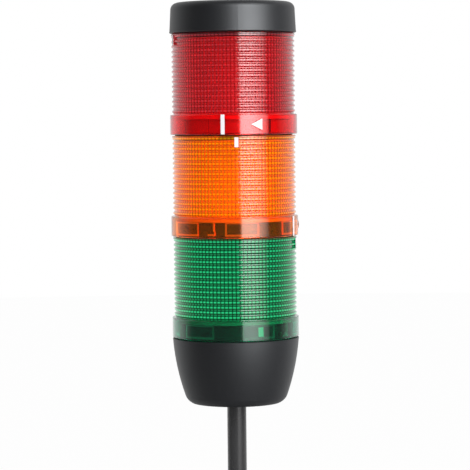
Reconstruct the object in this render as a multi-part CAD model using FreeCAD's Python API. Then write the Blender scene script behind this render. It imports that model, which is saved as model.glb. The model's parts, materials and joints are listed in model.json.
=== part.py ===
"""Stack light: three twist-on light modules on a wired base, closed by a cap.

Millimetres, +Z up. The origin is the centre of the base's flat underside.
Angles are measured round +Z from the front of the light, which faces -Y: positive turns the
front towards +X. Each module is built standing on its own joint plane, with its index line at
angle 0, and is then lifted and turned into place.
"""
import FreeCAD, Part
import math
import os

from FreeCAD import Vector

# ---------------------------------------------------------------- driving dimensions
# the stack
RING_R = 35.0            # outer radius of every ring, and of the base's rim
MODULE_PITCH = 55.8      # height that a light module adds
BASE_H = 36.5            # from the underside to the first joint plane
CAP_H = 17.0             # from the last joint plane to the edge of the cap's top
MODULE_NAMES = ("green", "amber", "red")     # from the bottom up
JOINT_GAP = 0.3          # open line between two stacked pieces
TOP_TURN = -9.7          # angle of the topmost module's index line
INDEX_STEP = 75.4        # each piece is turned by this much against the one that it stands on
EDGE = 0.3               # small bevel on moulded edges

# twist lock: lugs inside a ring, grooves round the neck that the ring goes over
TWIST = 12.0             # from locked to free, degrees
RING_H = 11.3
SKIRT_WALL = 2.4
PAD_H = 0.9              # guide pads stand this far in from the skirt
PAD_WIDTH = 32.0         # degrees
PAD_COUNT = 6
PAD_END_GAP = 0.2        # from a pad to the seal's bore and to the carrier's disc
FIRST_PAD = 1.5          # degrees from the index line
LUG_COUNT = 3
FIRST_LUG = 31.5         # degrees from the index line, between two pads
LUG_WIDTH = 7.0          # degrees
LUG_H = 2.2
LUG_LIFT = 1.6           # underside of a lug above the joint plane
LUG_BITE = 1.1           # a lug reaches this far into the neck
STOP_RIB_WIDTH = 1.2     # degrees
RUN_GAP = 0.3            # clearance between pieces that turn on each other
LUG_PLAY = 0.6           # clearance at each end of a groove, degrees
NECK_WALL = 2.5
SEAT_COVER = 1.0         # the ring reaches this far above the carrier's disc
DETENT_AT = -116.6       # degrees from the index line
DETENT_W = 3.6
DETENT_H = 5.8
DETENT_RISE = 0.15       # above its guide pad

# lens
RIB_COUNT = 16
RIB_INSET = 1.1          # ridges lie this far inside the ring
RIB_DEPTH = 0.7
RIB_LAND = 0.85          # flat top of a ridge
FIRST_RIB = 1.8          # above the ring
LAST_RIB = 1.75          # below the next joint plane
COLLAR_RISE = 0.25       # collar above the last ridge
LENS_WALL = 2.2          # from the bottom of a rib groove to the plain inner face
INNER_FLUTES = 100
INNER_FLUTE_DEPTH = 0.4
INNER_FLUTE_LAND = 0.2   # the flutes' crests lie this far outside the plain inner face
FLUTES_START = 1.7       # above the carrier's seat
FLUTES_END = 0.8         # below the roof of the lens
ROOF = 2.0               # thickness of the shoulder round the neck

# raised marks
LINE_W = 2.5
LINE_RISE = 0.3
TICK_W = 2.5
TICK_H = 5.7
TICK_DROP = 0.9          # from the next joint plane to the top of the tick
TICK_RISE = 0.5
ARROW_TIP = 24.0         # degrees from the index line
ARROW_BACK = 36.0
ARROW_H = 7.2
ARROW_RISE = 0.5

# seal, carrier, contacts and lamps of a module
SEAL_D = 1.2
SEAL_ROOM = 0.3          # radial room round a seal
SEAL_OVER = 0.2          # and above it
DISC_T = 1.5
DISC_PLAY = 0.3
DISC_OVER_NECK = 0.5
PLUG_PLAY = 0.5          # radial play of the plug in the neck below
PLUG_WALL = 2.9
PLUG_LIFT = 1.2          # rim of the plug above the joint plane
HUB_WALL = 2.0           # outside the circle of pins
HUB_LIFT = 2.5
COLUMN_HALF = 8.0        # half the width of the square column
COLUMN_WALL = 1.6
HEAD_T = 1.5
HEAD_PLAY = 0.2
HEAD_HUB_RISE = 0.4      # top of the head's hub above the joint plane
PIN_COUNT = 4            # round the centre pin
PIN_R = 1.0
PIN_ROOM = 0.1           # from a pin's collar to the inside of the column
CENTRE_PIN_R = 1.2
PIN_COLLAR_RISE = 0.3    # the collar's radius is this much more than the pin's
PIN_COLLAR_H = 0.6
PIN_TOP = 1.2            # upper end above the next joint plane
PIN_GAP = 0.3            # from there to the lower end of the next module's pins
PIN_PLAY = 0.05
BOARD_MARGIN = 1.0       # from a board's edge to the column's edge
BOARD_T = 1.0
BOARD_LIFT = 2.7         # above the carrier's disc
BOARD_DROP = 3.0         # below the contact head
LED_COLUMNS = 2
LED_ROWS = 3
LED_SIZE = 3.5
LED_T = 1.6

# cap
CAP_WALL_TOP = 1.8
CAP_TAPER = 0.75         # the wall leans in by this much up to the rounded edge
CAP_LIP_H = 1.0
CAP_EDGE_R = 4.0
CAP_DOME = 0.6
CAP_RIB_COUNT = 6
CAP_RIB_W = 1.6
CAP_RIB_H = 2.4

# base
BASE_HEEL_IN = 6.85      # where the rounded bottom edge meets the side, inside the rings
BASE_HEEL_Z = 3.7
BASE_HEEL_BULGE = 0.47   # height of the rounded edge's arc over its chord
BASE_FLAT_IN = 3.65      # from there in to the flat underside
BASE_BULGE = 1.08        # height of the side's arc over its chord
BASE_RIM_IN = 0.1        # the rim lies this far inside the rings
BASE_WALL = 3.0
FLOOR_T = 3.5
FLOOR_BEVEL = 1.0        # inside corner between the floor and the side
PLATE_T = 2.8
PLATE_PLAY = 0.2
PLATE_LEDGE = 1.5
SCREW_COUNT = 3
SCREW_R = 1.4
SCREW_HOLE_R = 1.7
SCREW_HEAD_R = 2.9
SCREW_HEAD_H = 1.9
SCREW_HEAD_ROOM = 1.6    # from a head to the plug that comes down round it
SCREW_SLOT_W = 0.8
SCREW_L = 14.0
SCREW_POST_R = 4.0
INSERT_COUNT = 3
INSERT_ROOM = 3.0        # from the grommet's flange to an insert's post
INSERT_R = 2.8
INSERT_BORE_R = 2.05
INSERT_L = 8.0
INSERT_POST_R = 5.0
INSERT_POST_OVER = 1.5   # material above the end of the insert
BASE_BOARD_FRONT = 8.0   # its front edge in front of the axis
BASE_BOARD_ROOM = 1.0    # to the screw posts beside and behind it
BASE_BOARD_T = 1.6
TERMINAL_D = 8.5
TERMINAL_H = 9.0
TERMINAL_SET_IN = 0.7    # from the board's rear edge
TERMINAL_PITCH = 4.6
TERMINAL_END = 0.5       # housing past the last terminal at each end
TERMINAL_HOLE_R = 1.4
TERMINAL_HOLE_L = 4.5
TERMINAL_SCREW_R = 1.6
TERMINAL_SCREW_L = 1.5
TERMINAL_SLOT_W = 0.6

# lead
CORD_D = 10.6
JACKET_T = 1.4
JACKET_OVER_TIE = 2.5    # the jacket stops this far above its tie inside the base
CORE_COUNT = 5
CORE_R = 1.1
CORE_STRAIGHT = 1.5
CORE_IN_TERMINAL = 3.0
GROMMET_WALL = 1.5       # sleeve
GROMMET_NECK = 2.7       # from the cord to the hole in the floor
GROMMET_FLANGE = 2.0     # past the hole's edge
GROMMET_RECESS = 0.3
GROMMET_FLANGE_T = 1.5
GROMMET_SLEEVE_H = 4.0   # above the flange
GROMMET_TAPER = 0.6
CLAMP_TIE_W = 3.0
CLAMP_TIE_T = 1.3
CLAMP_TIE_HEAD = 5.0

# the spare length, folded and tied below the base
HANK_LAYERS = 4
HANK_FOLD_R = 32.0       # to the cord's centre line
HANK_TOP_Z = -90.0       # centre of the upper folds
HANK_RUN = 160.0         # straight part of each run
HANK_ROUND = 5.2         # rounding of its outer edges
STRAP_W = 14.0
STRAP_T = 1.8
TAIL_L = 8.0             # jacket past the hank
END_CORE_L = 34.0
END_CORE_SPREAD = 2.6    # radius of the circle of cores at their ends
FERRULE_T = 0.25
FERRULE_L = 8.0

# ---------------------------------------------------------------- derived places
CORD_R = CORD_D / 2
SKIRT_R = RING_R - SKIRT_WALL
PAD_R = SKIRT_R - PAD_H
NECK_R = PAD_R - RUN_GAP
NECK_IN_R = NECK_R - NECK_WALL
LUG_R = NECK_R - LUG_BITE
GROOVE_R = LUG_R - RUN_GAP
SEAL_BORE_R = NECK_R + SEAL_D + SEAL_ROOM
SEAL_BORE_TOP = SEAL_D - JOINT_GAP + SEAL_OVER
SEAT_Z = RING_H - SEAT_COVER
DISC_LOW = SEAT_Z - DISC_T
NECK_H = DISC_LOW - DISC_OVER_NECK
PLUG_R = NECK_IN_R - PLUG_PLAY
RIDGE_R = RING_R - RIB_INSET
VALLEY_R = RIDGE_R - RIB_DEPTH
LAND_R = VALLEY_R - LENS_WALL
TICK_AT = TWIST - INDEX_STEP   # where the next ring's line stands once it is free to lift off
SHOULDER_Z = MODULE_PITCH - JOINT_GAP
ROOF_Z = SHOULDER_Z - ROOF
HEAD_LOW = ROOF_Z - HEAD_T
COLUMN_IN = COLUMN_HALF - COLUMN_WALL
PIN_CIRCLE_R = COLUMN_IN - PIN_ROOM - PIN_R - PIN_COLLAR_RISE
PIN_FOOT = PIN_TOP + PIN_GAP
HUB_R = PIN_CIRCLE_R + PIN_R + HUB_WALL
BOARD_HALF_W = COLUMN_HALF - BOARD_MARGIN
LED_BOARD_LOW = SEAT_Z + BOARD_LIFT
LED_BOARD_H = HEAD_LOW - BOARD_DROP - LED_BOARD_LOW
HEEL_R = RING_R - BASE_HEEL_IN
FLAT_R = HEEL_R - BASE_FLAT_IN
SCREW_CIRCLE_R = PLUG_R - PLUG_WALL - SCREW_HEAD_ROOM - SCREW_HEAD_R
GROMMET_R = CORD_R + GROMMET_NECK
GROMMET_FLANGE_R = GROMMET_R + GROMMET_FLANGE
GROMMET_FLANGE_Z = FLOOR_T + GROMMET_FLANGE_T
GROMMET_TOP_Z = GROMMET_FLANGE_Z + GROMMET_SLEEVE_H
JACKET_END_Z = GROMMET_TOP_Z + CLAMP_TIE_W + JACKET_OVER_TIE
CORE_CIRCLE_R = CORD_R - JACKET_T - CORE_R
INSERT_CIRCLE_R = GROMMET_FLANGE_R + INSERT_ROOM + INSERT_POST_R
PLATE_LOW = BASE_H - JOINT_GAP - PLATE_T
BOARD_LOW = PLATE_LOW - BASE_BOARD_T
BASE_BOARD_BACK = SCREW_CIRCLE_R - SCREW_POST_R - BASE_BOARD_ROOM
TERMINAL_BACK = BASE_BOARD_BACK - TERMINAL_SET_IN
TERMINAL_FRONT = TERMINAL_BACK - TERMINAL_D
TERMINAL_LOW = BOARD_LOW - TERMINAL_H
TERMINAL_SCREW_Z = TERMINAL_LOW + TERMINAL_H / 2
STACK_H = BASE_H + MODULE_PITCH * len(MODULE_NAMES)
HANK_HALF_W = HANK_FOLD_R + CORD_R
HANK_LOW_Z = HANK_TOP_Z - HANK_RUN
HANK_FRONT = -CORD_R
HANK_BACK = HANK_FRONT + HANK_LAYERS * CORD_D
PART_DIR = "parts"
AXIS = Vector(0, 0, 1)
HERE = Vector(0, 0, 0)


# ---------------------------------------------------------------- shape helpers
def level_turn(level):
    """Angle of the index line of the piece on a level: 0 is the lowest module, -1 the base."""
    return TOP_TURN + INDEX_STEP * (len(MODULE_NAMES) - 1 - level)


def around(radius, angle, z=0.0):
    """The point at a radius and an angle from the front."""
    turn = math.radians(angle)
    return Vector(radius * math.sin(turn), -radius * math.cos(turn), z)


def outline(start, *steps):
    """A face in the XZ plane from corners (r, z); a pair of points is an arc through the first."""
    def at(point):
        return Vector(point[0], 0, point[1])

    edges = []
    here = start
    for step in steps + (start,):
        if isinstance(step[0], tuple):
            edges.append(Part.Arc(at(here), at(step[0]), at(step[1])).toShape())
            here = step[1]
        elif step != here:
            edges.append(Part.LineSegment(at(here), at(step)).toShape())
            here = step
    return Part.Face(Part.Wire(edges))


def turned(face, angle=360.0):
    return face.revolve(HERE, AXIS, angle)


def sector(r_in, r_out, z_low, z_high, centre, width):
    """A block between two radii and two heights, over a width in degrees."""
    block = turned(outline((r_in, z_low), (r_out, z_low), (r_out, z_high), (r_in, z_high)), width)
    block.rotate(HERE, AXIS, centre - width / 2 - 90)
    return block


def rod(radius, z_low, z_high, centre=HERE):
    return Part.makeCylinder(radius, z_high - z_low, Vector(centre.x, centre.y, z_low), AXIS)


def tube(r_in, r_out, z_low, z_high, centre=HERE):
    return rod(r_out, z_low, z_high, centre).cut(rod(r_in, z_low - 1, z_high + 1, centre))


def block(x_low, x_high, y_low, y_high, z_low, z_high):
    return Part.makeBox(x_high - x_low, y_high - y_low, z_high - z_low, Vector(x_low, y_low, z_low))


def joined(first, others):
    return first.fuse(list(others)).removeSplitter()


def drilled(shape, tools):
    return shape.cut(list(tools))


def radial_prism(points, centre, z_mid, r_in, r_out):
    """A flat outline (sideways, up) pushed outwards at an angle and kept between two radii."""
    corners = [Vector(x, 0, z_mid + z) for x, z in points]
    face = Part.Face(Part.makePolygon(corners + corners[:1]))
    prism = face.extrude(Vector(0, -2 * r_out, 0))
    prism.rotate(HERE, AXIS, centre)
    return prism.common(tube(r_in, r_out, -2 * MODULE_PITCH, 2 * MODULE_PITCH))


def wire_path(points, radii):
    """Straight runs joined by tangent arcs, one radius for each inner point."""
    edges = []
    here = points[0]
    for before, corner, after, radius in zip(points, points[1:], points[2:], radii):
        into = (corner - before).normalize()
        out = (after - corner).normalize()
        half = into.getAngle(out) / 2
        reach = radius * math.tan(half)
        start = corner - into * reach
        end = corner + out * reach
        inward = (out - into).normalize()
        middle = corner + inward * (radius / math.cos(half) - radius)
        edges.append(Part.LineSegment(here, start).toShape())
        edges.append(Part.Arc(start, middle, end).toShape())
        here = end
    edges.append(Part.LineSegment(here, points[-1]).toShape())
    return Part.Wire(edges)


def wire(points, radius, bend_share=0.45):
    """A round wire along points, each bend as large as its two runs allow."""
    radii = []
    for before, corner, after in zip(points, points[1:], points[2:]):
        shorter = min((corner - before).Length, (after - corner).Length)
        half = (corner - before).getAngle(after - corner) / 2
        radii.append(bend_share * shorter / math.tan(half))
    path = wire_path(points, radii)
    direction = points[1] - points[0]
    section = Part.Wire(Part.makeCircle(radius, points[0], direction))
    return path.makePipeShell([section], True, False), radii


def placed(shape, level):
    """A module's piece lifted to its level and turned to its index angle."""
    shape = shape.copy()
    shape.rotate(HERE, AXIS, level_turn(level))
    shape.translate(Vector(0, 0, BASE_H + MODULE_PITCH * level))
    return shape


def write(name, shape):
    solids = shape.Solids
    good = shape.isValid() and all(solid.Volume > 0 for solid in solids)
    shape = solids[0] if len(solids) == 1 else Part.makeCompound(solids)
    shape.exportStep(os.path.join(PART_DIR, name + ".step"))
    print(f"{name}: {len(solids)} solids, {shape.Volume:.1f} mm3, {'valid' if good else 'NOT VALID'}")


# ---------------------------------------------------------------- twist lock
def lug_angles():
    return [FIRST_LUG + 360.0 / LUG_COUNT * i for i in range(LUG_COUNT)]


def skirt_details():
    """What stands inside a ring: guide pads, lugs with their stop ribs, and the detent."""
    root = SKIRT_R + SKIRT_WALL / 4
    pad_low = SEAL_BORE_TOP + PAD_END_GAP
    pad_high = DISC_LOW - PAD_END_GAP
    pads = [
        sector(PAD_R, root, pad_low, pad_high, FIRST_PAD + 360.0 / PAD_COUNT * i, PAD_WIDTH)
        for i in range(PAD_COUNT)
    ]
    lugs = [
        sector(LUG_R, root, LUG_LIFT, LUG_LIFT + LUG_H, angle, LUG_WIDTH) for angle in lug_angles()
    ]
    rib_shift = (LUG_WIDTH - STOP_RIB_WIDTH) / 2
    ribs = [
        sector(PAD_R, root, LUG_LIFT, pad_high, angle + rib_shift, STOP_RIB_WIDTH)
        for angle in lug_angles()
    ]
    detent = radial_prism(
        rounded_oblong(DETENT_W, DETENT_H), DETENT_AT, (pad_low + pad_high) / 2,
        PAD_R - DETENT_RISE, root,
    )
    return pads + lugs + ribs + [detent]


def rounded_oblong(width, height, steps=8):
    """Corners of an upright oblong with half-round ends."""
    radius = width / 2
    straight = height / 2 - radius
    upper = [
        (radius * math.cos(math.pi * i / steps), straight + radius * math.sin(math.pi * i / steps))
        for i in range(steps + 1)
    ]
    return upper + [(-x, -z) for x, z in upper]


def lock_grooves(joint_z):
    """L-shaped grooves in the neck below a ring: a level run, and a way in from the top."""
    cuts = []
    outside = NECK_R + 1
    low = joint_z + LUG_LIFT - RUN_GAP
    high = joint_z + LUG_LIFT + LUG_H + RUN_GAP
    way_in = LUG_WIDTH + 2 * LUG_PLAY
    for angle in lug_angles():
        locked = angle - INDEX_STEP
        cuts.append(sector(GROOVE_R, outside, low, high, locked + TWIST / 2, way_in + TWIST))
        cuts.append(sector(GROOVE_R, outside, low, joint_z + NECK_H + 1, locked + TWIST, way_in))
    return cuts


def seal():
    """Rubber ring round the neck, on the shoulder below a joint plane at z = 0."""
    ring = Part.makeTorus(NECK_R + SEAL_D / 2, SEAL_D / 2)
    ring.translate(Vector(0, 0, SEAL_D / 2 - JOINT_GAP))
    return ring


# ---------------------------------------------------------------- module
def rib_heights():
    low = RING_H + FIRST_RIB
    high = MODULE_PITCH - LAST_RIB
    return [low + (high - low) / (RIB_COUNT - 1) * i for i in range(RIB_COUNT)]


def lens_outline():
    """Half section of a lens: ring, ribbed wall, shoulder and neck."""
    ribs = rib_heights()
    half_land = RIB_LAND / 2
    half_groove = (ribs[1] - ribs[0] - RIB_LAND) / 2
    groove_r = (RIB_DEPTH ** 2 + half_groove ** 2) / (2 * RIB_DEPTH)
    quarter = half_groove / 2
    quarter_r = VALLEY_R + groove_r - math.sqrt(groove_r ** 2 - quarter ** 2)
    first = ribs[0] - half_land
    steps = [
        (RING_R - EDGE, JOINT_GAP),
        (RING_R, JOINT_GAP + EDGE),
        (RING_R, RING_H - EDGE),
        (RING_R - EDGE, RING_H),
        (VALLEY_R, RING_H),
        (VALLEY_R, first - half_groove),
        ((quarter_r, first - half_groove + quarter), (RIDGE_R, first)),
    ]
    for below, above in zip(ribs, ribs[1:]):
        steps.append((RIDGE_R, below + half_land))
        steps.append(((VALLEY_R, (below + above) / 2), (RIDGE_R, above - half_land)))
    collar_r = RIDGE_R + COLLAR_RISE
    neck_top = MODULE_PITCH + NECK_H
    steps += [
        (RIDGE_R, ribs[-1] + half_land),
        (collar_r, ribs[-1] + half_land + COLLAR_RISE),
        (collar_r, SHOULDER_Z - EDGE),
        (collar_r - EDGE, SHOULDER_Z),
        (NECK_R, SHOULDER_Z),
        (NECK_R, neck_top - EDGE),
        (NECK_R - EDGE, neck_top),
        (NECK_IN_R, neck_top),
        (NECK_IN_R, ROOF_Z),
        (LAND_R, ROOF_Z),
        (LAND_R, SEAT_Z),
        (SKIRT_R, SEAT_Z),
        (SKIRT_R, SEAL_BORE_TOP),
        (SEAL_BORE_R, SEAL_BORE_TOP),
    ]
    return outline((SEAL_BORE_R, JOINT_GAP), *steps)


def inner_flutes():
    """The prism whose scalloped side leaves the upright flutes on the lens's inner face."""
    crest_r = LAND_R + INNER_FLUTE_LAND
    step = 360.0 / INNER_FLUTES
    low = SEAT_Z + FLUTES_START
    arcs = []
    for i in range(INNER_FLUTES):
        start = around(crest_r, step * i, low)
        middle = around(crest_r + INNER_FLUTE_DEPTH, step * (i + 0.5), low)
        end = around(crest_r, step * (i + 1), low)
        arcs.append(Part.Arc(start, middle, end).toShape())
    return Part.Face(Part.Wire(arcs)).extrude(Vector(0, 0, ROOF_Z - FLUTES_END - low))


def marks():
    """Raised marks: the index line and the arrow on the ring, and the tick under the next ring."""
    sunk = 0.5
    line = sector(
        RING_R - sunk, RING_R + LINE_RISE, JOINT_GAP, RING_H, 0, math.degrees(LINE_W / RING_R)
    )
    tick_high = MODULE_PITCH - TICK_DROP
    tick = sector(
        VALLEY_R - sunk, RIDGE_R + TICK_RISE, tick_high - TICK_H, tick_high,
        TICK_AT, math.degrees(TICK_W / RIDGE_R),
    )
    middle = (ARROW_TIP + ARROW_BACK) / 2
    half_w = RING_R * math.sin(math.radians((ARROW_BACK - ARROW_TIP) / 2))
    arrow = radial_prism(
        [(-half_w, 0), (half_w, -ARROW_H / 2), (half_w, ARROW_H / 2)],
        middle, (RING_H + JOINT_GAP) / 2, RING_R - sunk, RING_R + ARROW_RISE,
    )
    return [line, tick, arrow]


def lens():
    body = turned(lens_outline()).cut(inner_flutes())
    body = drilled(body, lock_grooves(MODULE_PITCH))
    return joined(body, skirt_details() + marks())


def pin_places():
    return [around(PIN_CIRCLE_R, INDEX_STEP * i) for i in range(PIN_COUNT)]


def pin_holes(z_low, z_high):
    centre = rod(CENTRE_PIN_R + PIN_PLAY, z_low, z_high)
    return [centre] + [rod(PIN_R + PIN_PLAY, z_low, z_high, place) for place in pin_places()]


def pins(z_low, z_high, collar_low):
    """Contact pins with a collar that each one rests on."""
    made = []
    for radius, place in [(CENTRE_PIN_R, HERE)] + [(PIN_R, place) for place in pin_places()]:
        collar = rod(radius + PIN_COLLAR_RISE, collar_low, collar_low + PIN_COLLAR_H, place)
        made.append(joined(rod(radius, z_low, z_high, place), [collar]))
    return Part.makeCompound(made)


def square_column(half):
    return block(-half, half, -half, half, SEAT_Z, HEAD_LOW)


def carrier():
    """Disc under the lens, plug rim and hub below it, and the hollow column above it."""
    disc = rod(SKIRT_R - DISC_PLAY, DISC_LOW, SEAT_Z)
    plug = tube(PLUG_R - PLUG_WALL, PLUG_R, PLUG_LIFT, DISC_LOW)
    hub = rod(HUB_R, HUB_LIFT, DISC_LOW)
    column = square_column(COLUMN_HALF).cut(square_column(COLUMN_IN))
    return drilled(joined(disc, [plug, hub, column]), pin_holes(0, SEAT_Z + 1))


def contact_head():
    """Plate under the lens's roof, with the hub that holds the pins' upper ends."""
    plate = rod(LAND_R - HEAD_PLAY, HEAD_LOW, ROOF_Z)
    hub = rod(HUB_R, ROOF_Z, MODULE_PITCH + HEAD_HUB_RISE)
    return drilled(joined(plate, [hub]), pin_holes(HEAD_LOW - 1, MODULE_PITCH + 2))


def on_column(shape):
    """Copies of a piece on each of the column's four sides."""
    copies = []
    for side in range(4):
        copy = shape.copy()
        copy.rotate(HERE, AXIS, 90 * side)
        copies.append(copy)
    return copies


def led_boards():
    face_y = -COLUMN_HALF
    board = block(
        -BOARD_HALF_W, BOARD_HALF_W, face_y - BOARD_T, face_y,
        LED_BOARD_LOW, LED_BOARD_LOW + LED_BOARD_H,
    )
    return Part.makeCompound(on_column(board))


def leds():
    face_y = -COLUMN_HALF - BOARD_T
    half = LED_SIZE / 2
    pitch_x = 2 * BOARD_HALF_W / LED_COLUMNS
    pitch_z = LED_BOARD_H / LED_ROWS
    made = []
    for column in range(LED_COLUMNS):
        for row in range(LED_ROWS):
            x = pitch_x * (column + 0.5) - BOARD_HALF_W
            z = LED_BOARD_LOW + pitch_z * (row + 0.5)
            chip = block(x - half, x + half, face_y - LED_T, face_y, z - half, z + half)
            made += on_column(chip)
    return Part.makeCompound(made)


def module_pieces():
    return {
        "lens": lens(),
        "carrier": carrier(),
        "contact_pins": pins(PIN_FOOT, MODULE_PITCH + PIN_TOP, SEAT_Z),
        "led_boards": led_boards(),
        "leds": leds(),
        "contact_head": contact_head(),
    }


# ---------------------------------------------------------------- cap
def cap():
    """Black cover: the same twist-lock skirt under a shallow domed top."""
    wall_top = CAP_H - CAP_EDGE_R
    wall_r = RING_R - CAP_TAPER
    turn = CAP_EDGE_R * math.sin(math.radians(45))
    edge_mid = (wall_r - CAP_EDGE_R + turn, wall_top + turn)
    flat_r = wall_r - CAP_EDGE_R
    roof_low = CAP_H - CAP_WALL_TOP
    dome_r = (flat_r ** 2 + CAP_DOME ** 2) / (2 * CAP_DOME)
    dome_mid_z = CAP_H + CAP_DOME - dome_r + math.sqrt(dome_r ** 2 - flat_r ** 2 / 4)
    face = outline(
        (SEAL_BORE_R, JOINT_GAP),
        (RING_R - EDGE, JOINT_GAP),
        (RING_R, JOINT_GAP + EDGE),
        (RING_R - EDGE / 2, JOINT_GAP + CAP_LIP_H),
        (wall_r, wall_top),
        (edge_mid, (flat_r, CAP_H)),
        ((flat_r / 2, dome_mid_z), (0, CAP_H + CAP_DOME)),
        (0, roof_low),
        (LAND_R - EDGE, roof_low),
        (LAND_R, roof_low - EDGE),
        (LAND_R, SEAT_Z),
        (SKIRT_R, SEAT_Z),
        (SKIRT_R, SEAL_BORE_TOP),
        (SEAL_BORE_R, SEAL_BORE_TOP),
    )
    ribs = []
    for i in range(CAP_RIB_COUNT):
        rib = block(
            0, LAND_R + CAP_RIB_W / 4, -CAP_RIB_W / 2, CAP_RIB_W / 2,
            roof_low - CAP_RIB_H, roof_low + CAP_WALL_TOP / 4,
        )
        rib.rotate(HERE, AXIS, 360.0 / CAP_RIB_COUNT * i)
        ribs.append(rib)
    return joined(turned(face), ribs + skirt_details())


# ---------------------------------------------------------------- base
def crown(low, high, bulge):
    """The outermost point of an arc between two (r, z) points that rises this far over its chord."""
    chord = (high[0] - low[0], high[1] - low[1])
    length = math.hypot(*chord)
    return (
        (low[0] + high[0]) / 2 + bulge * chord[1] / length,
        (low[1] + high[1]) / 2 - bulge * chord[0] / length,
    )


def base_side():
    """Lower end, crown and upper end of the side's arc."""
    heel = (HEEL_R, BASE_HEEL_Z)
    rim = (RING_R - BASE_RIM_IN, BASE_H - JOINT_GAP - EDGE)
    return heel, crown(heel, rim, BASE_BULGE), rim


def inner_radius(z):
    """Radius of the bowl's inner face, one wall inside the bulging side."""
    circle = Part.Circle(*[Vector(r, 0, height) for r, height in base_side()])
    inner_r = circle.Radius - BASE_WALL
    return circle.Center.x + math.sqrt(inner_r ** 2 - (z - circle.Center.z) ** 2)


def screw_places():
    return [around(SCREW_CIRCLE_R, 180 + 360.0 / SCREW_COUNT * i) for i in range(SCREW_COUNT)]


def insert_places():
    return [around(INSERT_CIRCLE_R, 360.0 / INSERT_COUNT * i) for i in range(INSERT_COUNT)]


def recess_r():
    """Radius of the recess that takes the contact plate: one ledge wider than the bowl."""
    return inner_radius(PLATE_LOW) + PLATE_LEDGE


def base_housing():
    heel, middle, rim = base_side()
    flat = (FLAT_R, 0)
    low_in = FLOOR_T + FLOOR_BEVEL
    mid_in = (low_in + PLATE_LOW) / 2
    top = BASE_H - JOINT_GAP
    face = outline(
        (GROMMET_R, 0),
        flat,
        (crown(flat, heel, BASE_HEEL_BULGE), heel),
        (middle, rim),
        (rim[0] - EDGE, top),
        (recess_r(), top),
        (recess_r(), PLATE_LOW),
        (inner_radius(PLATE_LOW), PLATE_LOW),
        ((inner_radius(mid_in), mid_in), (inner_radius(low_in), low_in)),
        (inner_radius(low_in) - FLOOR_BEVEL, FLOOR_T),
        (GROMMET_R, FLOOR_T),
    )
    posts = [rod(SCREW_POST_R, FLOOR_T - 1, PLATE_LOW, place) for place in screw_places()]
    insert_top = INSERT_L + INSERT_POST_OVER
    posts += [rod(INSERT_POST_R, FLOOR_T - 1, insert_top, place) for place in insert_places()]
    tick_high = top - TICK_DROP
    tick = sector(
        RING_R - BASE_WALL / 2, RING_R + LINE_RISE, tick_high - TICK_H, tick_high,
        level_turn(-1) + TICK_AT, math.degrees(TICK_W / RING_R),
    )
    body = joined(turned(face), posts + [tick])
    screw_foot = PLATE_LOW + PLATE_T - SCREW_L
    holes = [rod(SCREW_R, screw_foot, PLATE_LOW + 1, place) for place in screw_places()]
    holes += [rod(INSERT_R, -1, INSERT_L, place) for place in insert_places()]
    return drilled(body, holes)


def contact_plate():
    """Lid of the bowl: a plate in the recess, with the neck and its lock grooves."""
    top = BASE_H - JOINT_GAP
    neck_top = BASE_H + NECK_H
    plate_r = recess_r() - PLATE_PLAY
    body = turned(outline(
        (0, PLATE_LOW),
        (plate_r, PLATE_LOW),
        (plate_r, top),
        (NECK_R, top),
        (NECK_R, neck_top - EDGE),
        (NECK_R - EDGE, neck_top),
        (NECK_IN_R, neck_top),
        (NECK_IN_R, top),
        (0, top),
    ))
    grooves = Part.makeCompound(lock_grooves(0) + pin_holes(PLATE_LOW - BASE_H - 1, 1))
    grooves.rotate(HERE, AXIS, level_turn(-1))
    grooves.translate(Vector(0, 0, BASE_H))
    holes = [rod(SCREW_HOLE_R, PLATE_LOW - 1, top + 1, place) for place in screw_places()]
    return drilled(body, grooves.Solids + holes)


def plate_screws():
    made = []
    top = PLATE_LOW + PLATE_T
    for place in screw_places():
        head = rod(SCREW_HEAD_R, top, top + SCREW_HEAD_H, place)
        slot = block(
            place.x - SCREW_HEAD_R, place.x + SCREW_HEAD_R,
            place.y - SCREW_SLOT_W / 2, place.y + SCREW_SLOT_W / 2,
            top + SCREW_HEAD_H / 2, top + SCREW_HEAD_H + 1,
        )
        made.append(joined(rod(SCREW_R, top - SCREW_L, top, place), [head]).cut(slot))
    return Part.makeCompound(made)


def threaded_inserts():
    return Part.makeCompound([
        tube(INSERT_BORE_R, INSERT_R, 0, INSERT_L, place) for place in insert_places()
    ])


def base_pins():
    tails = PLATE_LOW - BASE_BOARD_T - BASE_H
    made = pins(tails, PIN_TOP, -JOINT_GAP)
    made.rotate(HERE, AXIS, level_turn(-1))
    made.translate(Vector(0, 0, BASE_H))
    return made


def base_board():
    post = around(SCREW_CIRCLE_R, 180.0 / SCREW_COUNT)
    half_w = post.x - SCREW_POST_R - BASE_BOARD_ROOM
    board = block(-half_w, half_w, -BASE_BOARD_FRONT, BASE_BOARD_BACK, BOARD_LOW, PLATE_LOW)
    holes = Part.makeCompound(pin_holes(BOARD_LOW - 1, PLATE_LOW + 1))
    holes.rotate(HERE, AXIS, level_turn(-1))
    return drilled(board, holes.Solids)


def terminal_places():
    y = (TERMINAL_FRONT + TERMINAL_BACK) / 2
    return [Vector(TERMINAL_PITCH * (i - (CORE_COUNT - 1) / 2), y, 0) for i in range(CORE_COUNT)]


def terminal_block():
    half_w = CORE_COUNT * TERMINAL_PITCH / 2 + TERMINAL_END
    body = block(-half_w, half_w, TERMINAL_FRONT, TERMINAL_BACK, TERMINAL_LOW, BOARD_LOW)
    wire_holes = [
        rod(TERMINAL_HOLE_R, TERMINAL_LOW - 1, TERMINAL_LOW + TERMINAL_HOLE_L, place)
        for place in terminal_places()
    ]
    screw_holes = [terminal_screw(place, TERMINAL_SCREW_R) for place in terminal_places()]
    return drilled(body, wire_holes + screw_holes)


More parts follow.
